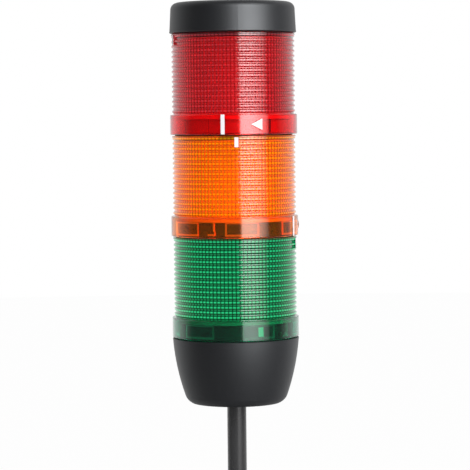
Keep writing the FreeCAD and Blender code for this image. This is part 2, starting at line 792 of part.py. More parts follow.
def terminal_screw(place, radius):
    """The barrel of a clamping screw, let into the terminal's front."""
    start = Vector(place.x, TERMINAL_FRONT, TERMINAL_SCREW_Z)
    return Part.makeCylinder(radius, TERMINAL_SCREW_L, start, Vector(0, 1, 0))


def terminal_screws():
    made = []
    for place in terminal_places():
        slot = block(
            place.x - TERMINAL_SCREW_R, place.x + TERMINAL_SCREW_R,
            TERMINAL_FRONT - 1, TERMINAL_FRONT + TERMINAL_SCREW_L / 3,
            TERMINAL_SCREW_Z - TERMINAL_SLOT_W / 2, TERMINAL_SCREW_Z + TERMINAL_SLOT_W / 2,
        )
        made.append(terminal_screw(place, TERMINAL_SCREW_R - PIN_PLAY).cut(slot))
    return Part.makeCompound(made)


# ---------------------------------------------------------------- lead
def cable_grommet():
    sleeve_r = CORD_R + GROMMET_WALL
    return turned(outline(
        (CORD_R, GROMMET_RECESS),
        (GROMMET_R, GROMMET_RECESS),
        (GROMMET_R, FLOOR_T),
        (GROMMET_FLANGE_R, FLOOR_T),
        (GROMMET_FLANGE_R, GROMMET_FLANGE_Z),
        (sleeve_r + GROMMET_TAPER, GROMMET_FLANGE_Z),
        (sleeve_r, GROMMET_TOP_Z),
        (CORD_R, GROMMET_TOP_Z),
    ))


def clamp_tie():
    """Cable tie drawn tight round the jacket on top of the grommet, so that it can't pull out."""
    high = GROMMET_TOP_Z + CLAMP_TIE_W
    half = CLAMP_TIE_HEAD / 2
    band = tube(CORD_R, CORD_R + CLAMP_TIE_T, GROMMET_TOP_Z, high)
    head = block(CORD_R + CLAMP_TIE_T / 2, CORD_R + CLAMP_TIE_HEAD, -half, half, GROMMET_TOP_Z, high)
    return joined(band, [head])


def core_ring():
    """Where the cores leave the jacket, in the order of the terminals that they go to."""
    step = 360.0 / CORE_COUNT
    places = [around(CORE_CIRCLE_R, 180 + step * i) for i in range(CORE_COUNT)]
    return sorted(places, key=lambda place: place.x)


def lead_cores():
    made = []
    for start, end in zip(core_ring(), terminal_places()):
        low = JACKET_END_Z
        points = [
            Vector(start.x, start.y, low),
            Vector(start.x, start.y, low + CORE_STRAIGHT),
            Vector(end.x, end.y, TERMINAL_LOW - CORE_STRAIGHT),
            Vector(end.x, end.y, TERMINAL_LOW + CORE_IN_TERMINAL),
        ]
        core, radii = wire(points, CORE_R)
        print("core bends, mm:", [round(radius, 1) for radius in radii])
        made.append(core)
    return Part.makeCompound(made)


def lead_hank():
    """Outer shape of the folded cord: its runs side by side between two rows of folds."""
    half = HANK_HALF_W
    face = outline(
        (half, HANK_LOW_Z),
        (half, HANK_TOP_Z),
        ((0, HANK_TOP_Z + half), (-half, HANK_TOP_Z)),
        (-half, HANK_LOW_Z),
        ((0, HANK_LOW_Z - half), (half, HANK_LOW_Z)),
    )
    face.translate(Vector(0, HANK_FRONT, 0))
    body = face.extrude(Vector(0, HANK_BACK - HANK_FRONT, 0))
    rims = [
        edge for edge in body.Edges
        if abs(edge.Vertexes[0].Point.y - edge.Vertexes[-1].Point.y) < 0.01
    ]
    return body.makeFillet(HANK_ROUND, rims)


def rounded_rectangle(half_w, y_low, y_high, radius, z_low, z_high):
    body = block(-half_w, half_w, y_low, y_high, z_low, z_high)
    upright = [
        edge for edge in body.Edges
        if abs(edge.Vertexes[0].Point.z - edge.Vertexes[-1].Point.z) > 0.01
    ]
    return body.makeFillet(radius, upright)


def hank_strap():
    """Hook-and-loop strap round the middle of the hank."""
    middle = (HANK_TOP_Z + HANK_LOW_Z) / 2
    low = middle - STRAP_W / 2
    high = middle + STRAP_W / 2
    outer = rounded_rectangle(
        HANK_HALF_W + STRAP_T, HANK_FRONT - STRAP_T, HANK_BACK + STRAP_T, HANK_ROUND + STRAP_T,
        low, high,
    )
    inner = rounded_rectangle(HANK_HALF_W, HANK_FRONT, HANK_BACK, HANK_ROUND, low, high)
    return outer.cut(inner)


def tail_place():
    """The last run lies in the rear layer, on the left."""
    return Vector(-HANK_FOLD_R, HANK_BACK - CORD_R, 0)


def tail_low():
    """The jacket's end, below the hank's outline at the last run's outer side."""
    return HANK_LOW_Z - HANK_HALF_W + TAIL_L


def end_core_paths():
    """Start and end of each core past the jacket's end."""
    low = tail_low()
    tail = tail_place()
    paths = []
    for i in range(CORE_COUNT):
        angle = 360.0 / CORE_COUNT * i
        start = tail + around(CORE_CIRCLE_R, angle)
        end = tail + around(CORE_CIRCLE_R + END_CORE_SPREAD, angle)
        middle_z = low - END_CORE_L / 2
        paths.append([
            Vector(start.x, start.y, low),
            Vector(start.x, start.y, low - END_CORE_L / 3),
            Vector(end.x, end.y, middle_z - END_CORE_L / 6),
            Vector(end.x, end.y, low - END_CORE_L),
        ])
    return paths


def end_cores():
    return Part.makeCompound([wire(points, CORE_R)[0] for points in end_core_paths()])


def end_ferrules():
    """Crimped sleeves on the cores' ends."""
    made = []
    for points in end_core_paths():
        end = points[-1]
        made.append(rod(CORE_R + FERRULE_T, end.z - FERRULE_L, end.z, end))
    return Part.makeCompound(made)


# ---------------------------------------------------------------- build
def main():
    os.makedirs(PART_DIR, exist_ok=True)
    write("base_housing", base_housing())
    write("threaded_inserts", threaded_inserts())
    write("contact_plate", contact_plate())
    write("plate_screws", plate_screws())
    write("base_contact_pins", base_pins())
    write("base_board", base_board())
    write("terminal_block", terminal_block())
    write("terminal_screws", terminal_screws())
    write("base_seal", placed(seal(), 0))
    write("cable_grommet", cable_grommet())
    write("clamp_tie", clamp_tie())
    write("lead_cores", lead_cores())

    hank = lead_hank()
    write("lead", rod(CORD_R, HANK_TOP_Z, JACKET_END_Z).cut(hank))
    write("lead_hank", hank)
    write("lead_tail", rod(CORD_R, tail_low(), HANK_LOW_Z, tail_place()).cut(hank))
    write("hank_strap", hank_strap())
    write("end_cores", end_cores())
    write("end_ferrules", end_ferrules())

    pieces = module_pieces()
    for level, colour in enumerate(MODULE_NAMES):
        for name, shape in pieces.items():
            write(f"{colour}_{name}", placed(shape, level))
        write(f"{colour}_seal", placed(seal(), level + 1))

    cover = cap()
    cover.rotate(HERE, AXIS, level_turn(len(MODULE_NAMES)))
    cover.translate(Vector(0, 0, STACK_H))
    write("cap", cover)


main()
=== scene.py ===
# %% [markdown]
# # A stack light, dressed in Blender
# A stack light is a column of coloured lamp modules that twist onto each other, on a wired base and under
# a cap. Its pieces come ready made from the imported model, so this notebook adds what that model can't
# hold: the lead as one smooth curve, the white print on the raised marks, the finishes, and the light.

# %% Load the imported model
import json
import math

import bpy
from mathutils import Matrix, Vector


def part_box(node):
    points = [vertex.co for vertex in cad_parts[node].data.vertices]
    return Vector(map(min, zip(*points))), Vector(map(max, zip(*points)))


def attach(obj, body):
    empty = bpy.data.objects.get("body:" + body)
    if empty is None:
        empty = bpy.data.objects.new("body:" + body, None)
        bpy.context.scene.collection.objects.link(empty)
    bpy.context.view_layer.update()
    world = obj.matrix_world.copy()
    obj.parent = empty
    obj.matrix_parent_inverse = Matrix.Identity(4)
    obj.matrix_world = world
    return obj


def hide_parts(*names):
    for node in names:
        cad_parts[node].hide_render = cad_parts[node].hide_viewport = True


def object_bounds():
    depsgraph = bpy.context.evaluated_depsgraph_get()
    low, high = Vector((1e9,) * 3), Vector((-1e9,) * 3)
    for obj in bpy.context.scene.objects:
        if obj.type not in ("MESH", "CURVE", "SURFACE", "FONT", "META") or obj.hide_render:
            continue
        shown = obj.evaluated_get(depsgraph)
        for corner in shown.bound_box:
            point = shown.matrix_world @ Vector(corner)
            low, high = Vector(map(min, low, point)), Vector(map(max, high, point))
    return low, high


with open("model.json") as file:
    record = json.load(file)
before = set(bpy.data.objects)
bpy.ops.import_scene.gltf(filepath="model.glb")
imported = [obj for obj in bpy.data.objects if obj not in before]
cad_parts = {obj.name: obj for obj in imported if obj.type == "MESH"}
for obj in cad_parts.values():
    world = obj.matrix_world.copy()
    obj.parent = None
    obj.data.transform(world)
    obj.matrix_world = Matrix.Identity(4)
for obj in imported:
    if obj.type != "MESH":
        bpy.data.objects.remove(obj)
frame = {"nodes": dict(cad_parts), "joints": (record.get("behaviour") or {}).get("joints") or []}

MM = 0.001
nodes = frame["nodes"]
cad_low, cad_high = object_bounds()
print("model from", [round(v / MM, 1) for v in cad_low], "to", [round(v / MM, 1) for v in cad_high], "mm")

# %% [markdown]
# ## Where things are
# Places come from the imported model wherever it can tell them: the joint planes are the hinges' heights,
# and the ring radius is half the cap's width. Angles are counted in degrees from the front, which faces
# -Y, and are positive towards +X, so one small function turns an angle and a radius into a point. The top
# module's index line stands a little left of the front, and each piece below has its own one a fixed step
# further round. A piece is locked by a short twist, so the tick under its ring stands that twist away from
# the ring's own line.

# %% Stack heights and angles
MODULES = ("green", "amber", "red")
joint_heights = [joint["pos_m"][2] for joint in frame["joints"]]
pitch = joint_heights[1] - joint_heights[0]
ring_r = (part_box("cap")[1].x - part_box("cap")[0].x) / 2
TOP_TURN = -9.7
INDEX_STEP = 75.4
TWIST = 12.0


def around(radius, angle, z=0.0):
    """The point at a radius and an angle in degrees from the front."""
    turn = math.radians(angle)
    return Vector((radius * math.sin(turn), -radius * math.cos(turn), z))


def index_angle(level):
    """Where a piece's index line stands: level 0 is the lowest module, -1 the base."""
    return TOP_TURN + INDEX_STEP * (len(MODULES) - 1 - level)


print(f"ring radius {ring_r / MM:.2f} mm, module pitch {pitch / MM:.2f} mm")

# %% [markdown]
# ## Camera
# A long lens from well back keeps the stack's sides almost parallel, as a catalogue picture does. The
# camera stands level with the top module's ring and looks slightly down, so each ring shows a faint curve.
# A small roll of the camera leans the whole stack, which is simpler than turning every piece.

# %% Camera
CAMERA_BACK = 1.267
CAMERA_HEIGHT = 0.1576
AIM = Vector((0.00008, 0.0, 0.0927))
LENS = 175.6
ROLL = math.radians(-0.62)

camera_data = bpy.data.cameras.new("camera")
camera_data.lens = LENS
camera_data.sensor_width = 36.0
camera_data.clip_end = 50.0
camera = bpy.data.objects.new("camera", camera_data)
camera.location = (AIM.x, -CAMERA_BACK, CAMERA_HEIGHT)
look = (AIM - camera.location).to_track_quat("-Z", "Y")
camera.rotation_euler = (look.to_matrix() @ Matrix.Rotation(ROLL, 3, "Z")).to_euler()
bpy.context.scene.collection.objects.link(camera)
bpy.context.scene.camera = camera
bpy.context.scene.view_settings.view_transform = "Standard"
print("camera", [round(v, 3) for v in camera.location], "lens", camera_data.lens)

# %% [markdown]
# ## The lead
# The lead is one round control cable. It leaves the middle of the base and hangs straight down, and its
# spare length is folded into a hank: long runs side by side with wide folds at the ends, held by a strap.
# One NURBS curve of order 3 follows its control points closely and stays smooth. In a fold the points lie
# on a slightly larger circle than the cable, because such a curve touches its control polygon only at the
# middle of each side. The straight runs have a few points each, as shares of the way from the upper fold
# to the lower one, and the cable moves over by one layer on its way through the lower fold and back up.

# %% Lead: route
CORD_R = 5.3 * MM
FOLD_R = 32.0 * MM
FOLD_POINTS = 5
HANK_TOP = -90.0 * MM
HANK_LOW = -250.0 * MM
LAYERS = 4
TAIL_END = -279.3 * MM
DOWN_SHARES = (0.25, 0.6, 0.9)
UP_SHARES = (0.85, 0.5, 0.15)
SHIFT_IN_FOLD = 0.4

straight_down = [(0, 0, 14.5), (0, 0, -8), (0, 0, -30), (0, 0, -50)]
into_hank = [(-16, 0, -76), (-32, 0, -102)]
route = [Vector(point) * MM for point in straight_down + into_hank]


def fold(centre_z, start_angle, layer_from, layer_to):
    """Control points of half a turn round (0, centre_z), anticlockwise from start_angle."""
    step = 180.0 / FOLD_POINTS
    radius = FOLD_R / math.cos(math.radians(step / 2))
    points = []
    for i in range(FOLD_POINTS):
        angle = math.radians(start_angle + step * (i + 0.5))
        layer = layer_from + (layer_to - layer_from) * (i + 0.5) / FOLD_POINTS
        points.append(Vector((
            radius * math.cos(angle),
            2 * CORD_R * layer,
            centre_z + radius * math.sin(angle),
        )))
    return points


def run_point(x, share, layer):
    """A point on a straight run: share 0 is the upper fold's height, 1 the lower fold's."""
    return Vector((x, 2 * CORD_R * layer, HANK_TOP + (HANK_LOW - HANK_TOP) * share))


for turn in range(LAYERS):
    route += [run_point(-FOLD_R, share, turn) for share in DOWN_SHARES]
    if turn < LAYERS - 1:
        route += fold(HANK_LOW, 180.0, turn, turn + SHIFT_IN_FOLD)
        for share in UP_SHARES:
            done = (UP_SHARES[0] - share) / (UP_SHARES[0] - UP_SHARES[-1])
            layer = turn + SHIFT_IN_FOLD + (1 - SHIFT_IN_FOLD) * done
            route.append(run_point(FOLD_R, share, layer))
        route += fold(HANK_TOP, 0.0, turn + 1, turn + 1)
route.append(Vector((-FOLD_R, 2 * CORD_R * (LAYERS - 1), TAIL_END)))
print("lead route:", len(route), "control points")

# %% Lead: curve
CURVE_ORDER = 3
STEPS_PER_POINT = 10
STEPS_ROUND = 6


def nurbs_curve(name, points, radius):
    """A round cable: a NURBS line through space with a bevel of the given radius."""
    data = bpy.data.curves.new(name, "CURVE")
    data.dimensions = "3D"
    spline = data.splines.new("NURBS")
    spline.points.add(len(points) - 1)
    for target, point in zip(spline.points, points):
        target.co = (*point, 1.0)
        target.radius = radius
    spline.order_u = CURVE_ORDER
    spline.use_endpoint_u = True
    spline.resolution_u = STEPS_PER_POINT
    data.bevel_depth = 1.0
    data.bevel_resolution = STEPS_ROUND
    data.use_fill_caps = True
    curve = bpy.data.objects.new(name, data)
    bpy.context.scene.collection.objects.link(curve)
    return curve


def curve_length(curve):
    """Length of a curve's line, read from the line that Blender makes without its bevel."""
    bare = curve.copy()
    bare.data = curve.data.copy()
    bare.data.bevel_depth = 0
    bpy.context.scene.collection.objects.link(bare)
    depsgraph = bpy.context.evaluated_depsgraph_get()
    mesh = bpy.data.meshes.new_from_object(bare.evaluated_get(depsgraph))
    total = 0.0
    for edge in mesh.edges:
        start, end = (mesh.vertices[index].co for index in edge.vertices)
        total += (end - start).length
    bpy.data.meshes.remove(mesh)
    bpy.data.objects.remove(bare)
    return total


lead = nurbs_curve("lead_cable", route, CORD_R)
lead_length = curve_length(lead)
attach(lead, "base")
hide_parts("lead", "lead_hank", "lead_tail")
print(f"lead length {lead_length:.3f} m")

# %% [markdown]
# ## Print on the raised marks
# Each ring carries an index line and an arrow, and each lens has a short tick under the next ring. They
# are moulded proud of the surface, and a pad printer lays white ink on their faces. The ink is a thin
# curved sheet of its own: a grid wrapped round the axis, a little smaller than the moulded mark, so that a
# rim of the coloured plastic stays bare. Heights are counted from the joint plane under each ring, and arcs
# in degrees from the index line.

# %% Print: helpers
INK_T = 0.06 * MM
INK_SINK = 0.02 * MM
SHEET_COLUMNS = 12


def wrapped_sheet(name, rows, radius, centre):
    """A thin solid sheet round the axis: rows of (height, angle_from, angle_to), wrapped at a radius."""
    across = SHEET_COLUMNS + 1
    verts = []
    for surface_r in (radius - INK_SINK, radius + INK_T - INK_SINK):
        for z, low, high in rows:
            for i in range(across):
                verts.append(around(surface_r, centre + low + (high - low) * i / SHEET_COLUMNS, z))
    layer = len(rows) * across
    faces = []
    for row in range(len(rows) - 1):
        for i in range(SHEET_COLUMNS):
            a = row * across + i
            quad = (a, a + 1, a + across + 1, a + across)
            faces.append(tuple(layer + v for v in quad))
            faces.append(tuple(reversed(quad)))
    rim = list(range(across))
    rim += [(row + 1) * across - 1 for row in range(1, len(rows))]
    rim += [layer - 1 - i for i in range(1, across)]
    rim += [row * across for row in range(len(rows) - 2, 0, -1)]
    for a, b in zip(rim, rim[1:] + rim[:1]):
        faces.append((a, b, layer + b, layer + a))
    mesh = bpy.data.meshes.new(name)
    mesh.from_pydata([tuple(v) for v in verts], [], faces)
    mesh.validate()
    sheet = bpy.data.objects.new(name, mesh)
    bpy.context.scene.collection.objects.link(sheet)
    return sheet


def upright_bar(name, radius, centre, low, high, width):
    """A bar of a width on the curved wall, from a low to a high height."""
    half = math.degrees(width / radius) / 2
    return wrapped_sheet(name, [(low, -half, half), (high, -half, half)], radius, centre)


print(f"ink {INK_T / MM:.2f} mm thick, of which {INK_SINK / MM:.2f} mm lies in the mark")

# %% Print: the arrow
ARROW_TIP = 25.3
ARROW_BACK = 35.4
ARROW_H = 6.0 * MM
ARROW_STEPS = 12
ARROW_FILL = 0.985


def arrow(name, radius, centre, middle_z):
    """A triangle: each row starts at the slanted edge and ends at the upright back.

    The slant stops just short of the back, so that the first and last rows keep a little width."""
    rows = []
    for i in range(ARROW_STEPS + 1):
        up = 2 * i / ARROW_STEPS - 1
        slant = ARROW_TIP + (ARROW_BACK - ARROW_TIP) * abs(up) * ARROW_FILL
        rows.append((middle_z + ARROW_H / 2 * up, slant, ARROW_BACK))
    return wrapped_sheet(name, rows, radius, centre)


print(f"arrow {ARROW_H / MM:.1f} mm high over {ARROW_BACK - ARROW_TIP:.1f} degrees")

# %% Print: index lines, ticks and arrows
RING_H = 11.3 * MM
LINE_W = 2.1 * MM
LINE_FOOT = 0.5 * MM
LINE_HEAD = 0.1 * MM
LINE_R = ring_r + 0.3 * MM
ARROW_R = ring_r + 0.5 * MM
ARROW_OFF_MIDDLE = 0.15 * MM
TICK_W = 2.1 * MM
TICK_H = 5.3 * MM
TICK_R = ring_r - 0.6 * MM
TICK_DROP = 1.1 * MM
BASE_TICK_DROP = 1.4 * MM
prints = []

for level, colour in enumerate(MODULES):
    low = joint_heights[level]
    turn = index_angle(level)
    tick_top = low + pitch - TICK_DROP
    tick_angle = turn + TWIST - INDEX_STEP
    arrow_middle = low + RING_H / 2 + ARROW_OFF_MIDDLE
    made = [
        upright_bar(
            f"{colour}_line_print", LINE_R, turn, low + LINE_FOOT, low + RING_H - LINE_HEAD, LINE_W,
        ),
        upright_bar(f"{colour}_tick_print", TICK_R, tick_angle, tick_top - TICK_H, tick_top, TICK_W),
        arrow(f"{colour}_arrow_print", ARROW_R, turn, arrow_middle),
    ]
    for piece in made:
        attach(piece, f"{colour}_module")
    prints += made

base_tick_top = joint_heights[0] - BASE_TICK_DROP
base_tick = upright_bar(
    "base_tick_print", LINE_R, index_angle(-1) + TWIST - INDEX_STEP,
    base_tick_top - TICK_H, base_tick_top, TICK_W,
)
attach(base_tick, "base")
prints.append(base_tick)
print("prints:", len(prints))

# %% [markdown]
# ## Effects that several finishes share
# Moulded plastic is never perfectly even. Spark-eroded moulds leave a fine grain, handling leaves faint
# cloudy patches in the gloss, and dust settles on faces that look up. Grain with its patches is one node
# group, and dust another. Each has named inputs, is built once, and is placed in a material with values for
# that finish. They put out only a height, a roughness or a mask that varies over the surface. The helpers
# come first: they make one node each and take numbers or other nodes' outputs.

# %% Node helpers: groups and sums
def new_group(name, inputs, outputs):
    """An empty shader group. Inputs are (name, socket type, default), outputs are (name, socket type)."""
    group = bpy.data.node_groups.new(name, "ShaderNodeTree")
    for label, kind, value in inputs:
        group.interface.new_socket(label, in_out="INPUT", socket_type=kind).default_value = value
    for label, kind in outputs:
        group.interface.new_socket(label, in_out="OUTPUT", socket_type=kind)
    return group, group.nodes.new("NodeGroupInput"), group.nodes.new("NodeGroupOutput")


def set_or_link(tree, socket, value):
    """Gives a socket its value: a number is set, another node's output is linked."""
    if isinstance(value, (int, float)):
        socket.default_value = value
    else:
        tree.links.new(value, socket)


def add_math(tree, operation, *values):
    """A maths node on up to three values."""
    node = tree.nodes.new("ShaderNodeMath")
    node.operation = operation
    for socket, value in zip(node.inputs, values):
        set_or_link(tree, socket, value)
    return node.outputs[0]


def times(tree, *values):
    """The product of several values."""
    result = values[0]
    for value in values[1:]:
        result = add_math(tree, "MULTIPLY", result, value)
    return result


def largest(tree, *values):
    """The largest of several values."""
    result = values[0]
    for value in values[1:]:
        result = add_math(tree, "MAXIMUM", result, value)
    return result


print("helpers: groups and sums")

# %% Node helpers: ranges, ramps and places
def add_range(tree, value, low, high, start=0.0, end=1.0):
    """Maps start..end to low..high and stays between them; low and high are numbers or sockets."""
    node = tree.nodes.new("ShaderNodeMapRange")
    tree.links.new(value, node.inputs["Value"])
    for label, bound in (("From Min", start), ("From Max", end), ("To Min", low), ("To Max", high)):
        set_or_link(tree, node.inputs[label], bound)
    return node.outputs[0]


def add_ramp(tree, value, stops):
    """A grey ramp over 0..1: stops are (place, shade), the first at 0 and the last at 1."""
    node = tree.nodes.new("ShaderNodeValToRGB")
    tree.links.new(value, node.inputs["Fac"])
    for place, _ in stops[1:-1]:
        node.color_ramp.elements.new(place)
    for element, (_, shade) in zip(node.color_ramp.elements, stops):
        element.color = (shade, shade, shade, 1.0)
    return node.outputs["Color"]


def split_axes(tree, vector):
    """The X, Y and Z outputs of a vector."""
    split = tree.nodes.new("ShaderNodeSeparateXYZ")
    tree.links.new(vector, split.inputs[0])
    return split.outputs


def object_place(tree):
    """Where a point lies on its object, in metres."""
    return tree.nodes.new("ShaderNodeTexCoord").outputs["Object"]


print("helpers: ranges, ramps and places")

# %% Grain and dust
CLOUD_SCALE = 45.0


def add_noise(tree, scale, detail):
    """Noise over the object's own space; its scale is a number or a socket."""
    noise = tree.nodes.new("ShaderNodeTexNoise")
    noise.inputs["Detail"].default_value = detail
    tree.links.new(object_place(tree), noise.inputs["Vector"])
    set_or_link(tree, noise.inputs["Scale"], scale)
    return noise.outputs["Fac"]


def build_grain():
    """Moulded grain: a fine pebbled height, and a roughness that wanders slightly over the surface."""
    tree, given, made = new_group(
        "moulded_grain",
        [("Grain Scale", "NodeSocketFloat", 1500.0), ("Roughness Low", "NodeSocketFloat", 0.35),
         ("Roughness High", "NodeSocketFloat", 0.45)],
        [("Height", "NodeSocketFloat"), ("Roughness", "NodeSocketFloat")],
    )
    tree.links.new(add_noise(tree, given.outputs["Grain Scale"], detail=3.0), made.inputs["Height"])
    clouds = add_noise(tree, CLOUD_SCALE, detail=4.0)
    low, high = (given.outputs[name] for name in ("Roughness Low", "Roughness High"))
    tree.links.new(add_range(tree, clouds, low, high), made.inputs["Roughness"])
    return tree


def build_dust():
    """Dust: a mask that is strong on upward faces and broken up by noise."""
    tree, given, made = new_group(
        "settled_dust",
        [("Amount", "NodeSocketFloat", 0.2), ("Patch Scale", "NodeSocketFloat", 300.0)],
        [("Mask", "NodeSocketFloat")],
    )
    facing = split_axes(tree, tree.nodes.new("ShaderNodeNewGeometry").outputs["Normal"])
    patches = add_noise(tree, given.outputs["Patch Scale"], detail=6.0)
    mask = times(tree, largest(tree, facing["Z"], 0.0), patches, given.outputs["Amount"])
    tree.links.new(mask, made.inputs["Mask"])
    return tree


GRAIN = build_grain()
DUST = build_dust()
print("groups:", GRAIN.name, DUST.name)

# %% [markdown]
# ## A material in a few lines
# Most finishes here are one Principled shader with the grain group on its roughness and bump. The helper
# below starts such a material and hands back its tree and shader, so that each finish can add its own.
# A finish that needs nothing more is one call.

# %% Material helpers
def new_material(name, colour, roughness=0.5, metallic=0.0, ior=1.5):
    """A Principled material, with its tree and shader at hand."""
    material = bpy.data.materials.new(name)
    material.use_nodes = True
    tree = material.node_tree
    shader = tree.nodes["Principled BSDF"]
    shader.inputs["Base Color"].default_value = (*colour, 1.0)
    shader.inputs["Roughness"].default_value = roughness
    shader.inputs["Metallic"].default_value = metallic
    shader.inputs["IOR"].default_value = ior
    return material, tree, shader


def add_group(tree, group, **values):
    """A group node with its inputs set; a space in an input's name is written as _ here."""
    node = tree.nodes.new("ShaderNodeGroup")
    node.node_tree = group
    for label, value in values.items():
        node.inputs[label.replace("_", " ")].default_value = value
    return node


def add_bump(tree, shader, height, strength, distance):
    """Relief on a shader from a height, without moving its surface."""
    bump = tree.nodes.new("ShaderNodeBump")
    bump.inputs["Strength"].default_value = strength
    bump.inputs["Distance"].default_value = distance
    tree.links.new(height, bump.inputs["Height"])
    tree.links.new(bump.outputs["Normal"], shader.inputs["Normal"])


def add_grain(tree, shader, scale, low, high, strength, distance):
    """The grain group on a shader: its roughness from low to high, its relief of a strength and depth."""
    grain = add_group(tree, GRAIN, Grain_Scale=scale, Roughness_Low=low, Roughness_High=high)
    tree.links.new(grain.outputs["Roughness"], shader.inputs["Roughness"])
    add_bump(tree, shader, grain.outputs["Height"], strength, distance)


print("helpers: materials, groups, bump and grain")

# %% Colour and shader mixes
def colour_mix(tree, mask, colour, other):
    """Between two colours, or a socket and a colour, by a mask that varies over the surface."""
    mix = tree.nodes.new("ShaderNodeMix")
    mix.data_type = "RGBA"
    if isinstance(colour, tuple):
        mix.inputs["A"].default_value = (*colour, 1.0)
    else:
        tree.links.new(colour, mix.inputs["A"])
    mix.inputs["B"].default_value = (*other, 1.0)
    tree.links.new(mask, mix.inputs["Factor"])
    return mix.outputs["Result"]


def tint_by(tree, shader, mask, colour, other):
    """A base colour that goes from one colour to another by a mask."""
    tree.links.new(colour_mix(tree, mask, colour, other), shader.inputs["Base Color"])


def blend_shaders(tree, share, first, second):
    """Makes the surface out of two shaders: share 0 shows the first one, 1 the second."""
    mix = tree.nodes.new("ShaderNodeMixShader")
    for socket, value in zip(mix.inputs, (share, first, second)):
        tree.links.new(value, socket)
    tree.links.new(mix.outputs["Shader"], tree.nodes["Material Output"].inputs["Surface"])


print("helpers: mixes")

# %% Whole finishes, and how a piece gets one
def plain_grained(
    name, colour, low, high, scale=1500.0, strength=0.15, distance=0.1 * MM, metallic=0.0,
):
    """A whole finish: one colour, and the grain group on its roughness and bump."""
    material, tree, shader = new_material(name, colour, metallic=metallic)
    add_grain(tree, shader, scale, low, high, strength, distance)
    return material


def dress(material, *names):
    """Puts a material on CAD nodes or on pieces of this script."""
    for name in names:
        piece = nodes[name] if isinstance(name, str) else name
        if piece.material_slots:
            for slot in piece.material_slots:
                slot.material = material
        else:
            piece.data.materials.append(material)


print("helpers: finishes for", len(nodes), "nodes and", len(prints), "prints")

# %% [markdown]
# ## Black housing plastic
# The base and the cap are moulded in black plastic with a fine spark-eroded grain, so their highlights are
# broad and soft. The plastic's own colour is nearly black and most of what shows is its sheen, which is
# why the specular level is high and slightly blue. A little dust keeps the top from looking unused.

# %% Black housing
BLACK = (0.0034, 0.0036, 0.0052)
DUST_COLOUR = (0.35, 0.34, 0.32)
black_plastic, tree, shader = new_material("black_housing_plastic", BLACK, ior=1.52)
shader.inputs["Specular IOR Level"].default_value = 1.0
shader.inputs["Specular Tint"].default_value = (0.94, 0.97, 1.0, 1.0)
add_grain(tree, shader, 1800.0, 0.42, 0.50, 0.12, 0.08 * MM)
dust = add_group(tree, DUST, Amount=0.05, Patch_Scale=260.0)
tint_by(tree, shader, dust.outputs["Mask"], BLACK, DUST_COLOUR)
dress(black_plastic, "base_housing", "contact_plate", "cap")
print("black housing on 3 nodes")

# %% [markdown]
# ## Clear coloured lenses
# The lenses are dyed clear plastic, so light colours itself by passing through the walls. The ridges
# outside and the upright flutes inside are real geometry, and break what lies behind into small lenses.
# The shader is a glass one: full transmission, the plastic's own index, its dye as the base colour, and a
# thin coat that keeps the outer highlight crisp. The ridged wall has a deeper dye than the plain ring,
# which is painted shade that keeps it dark between its dots: on a real lens each crossing of a ridge and a
# flute gathers light into a bright dot, and so do the edges of the parts inside the ring. Traced rays alone
# draw those too weakly, so the lens emits painted highlights there: masks with the same pitch as the ridges
# and flutes, and masks on the edges and the detent inside the ring, add a glow. Shadow rays pass straight
# through and take a tint, because a lamp's light would otherwise hardly ever get inside.

# %% Lens: the grid of ridges and flutes
RIDGES = 16
FLUTES = 100
RIDGES_OVER_RING = 1.8 * MM
RIDGES_UNDER_TOP = 1.75 * MM
FIRST_RIDGE = RING_H + RIDGES_OVER_RING
LAST_RIDGE = pitch - RIDGES_UNDER_TOP
RIDGE_STEP = (LAST_RIDGE - FIRST_RIDGE) / (RIDGES - 1)
RIDGE_MIDDLE = (FIRST_RIDGE + LAST_RIDGE) / 2
RIDGE_REACH = (LAST_RIDGE - FIRST_RIDGE + RIDGE_STEP) / 2
RIDGE_SHADES = (
    (0.0, 1.0), (0.14, 0.85), (0.25, 0.05), (0.38, 0.15), (0.50, 0.45),
    (0.62, 0.15), (0.72, 0.0), (0.80, 0.0), (0.90, 0.85), (1.0, 1.0),
)
FLUTE_SHADE = 0.10


def painted_grid_glow(tree, angle, height):
    """The pattern of painted highlight dots: bright on each ridge, fainter in each groove, broken up by the
    flutes.
    """
    ridges = times(tree, add_math(tree, "SUBTRACT", height, FIRST_RIDGE), 1 / RIDGE_STEP)
    along_ridge = add_ramp(tree, add_math(tree, "FRACT", ridges), RIDGE_SHADES)
    flutes = add_math(tree, "COSINE", times(tree, angle, FLUTES * math.pi / 180))
    return times(tree, along_ridge, add_range(tree, flutes, 1.0, FLUTE_SHADE))


def within(tree, value, middle, reach):
    """1 where a value lies within reach of the middle, else 0."""
    return add_math(tree, "COMPARE", value, middle, reach)


print(f"ridges every {RIDGE_STEP / MM:.2f} mm, flutes every {360 / FLUTES:.1f} degrees")

# %% [markdown]
# Inside its ring a lens has three things whose edges show through it: guide pads all round, three lugs
# that each end in a stop rib, and one detent. Each is a band of heights over the joint plane, given as its
# middle and its reach, and an arc in degrees from the index line, repeated round the axis. Masks on their
# edges carry a painted glow.

# %% Lens: the edges inside the ring
PAD_ARC = 32.0
PAD_STEP = 60.0
FIRST_PAD = 1.5
PAD_HEIGHTS = (4.95 * MM, 3.7 * MM)
PAD_FOOT = (1.75 * MM, 0.5 * MM)
PAD_HEAD = (8.25 * MM, 0.35 * MM)
EDGE_REACH = 0.7
EDGE_INSET = 0.6
LUG_STEP = 120.0
LUG_STOP = 34.4
LUG_FOOT = (2.0 * MM, 0.45 * MM)
LUG_BEFORE_STOP = 2.9
LUG_REACH = 3.5
DETENT_AT = -116.6
DETENT_REACH = 2.6
DETENT_HEIGHTS = (4.95 * MM, 2.5 * MM)
FULL_TURN = 360.0


def distance_from(tree, angle, first, step):
    """Degrees from the nearest of the places that repeat every step round the axis."""
    return add_math(tree, "PINGPONG", add_math(tree, "SUBTRACT", angle, first), step / 2)


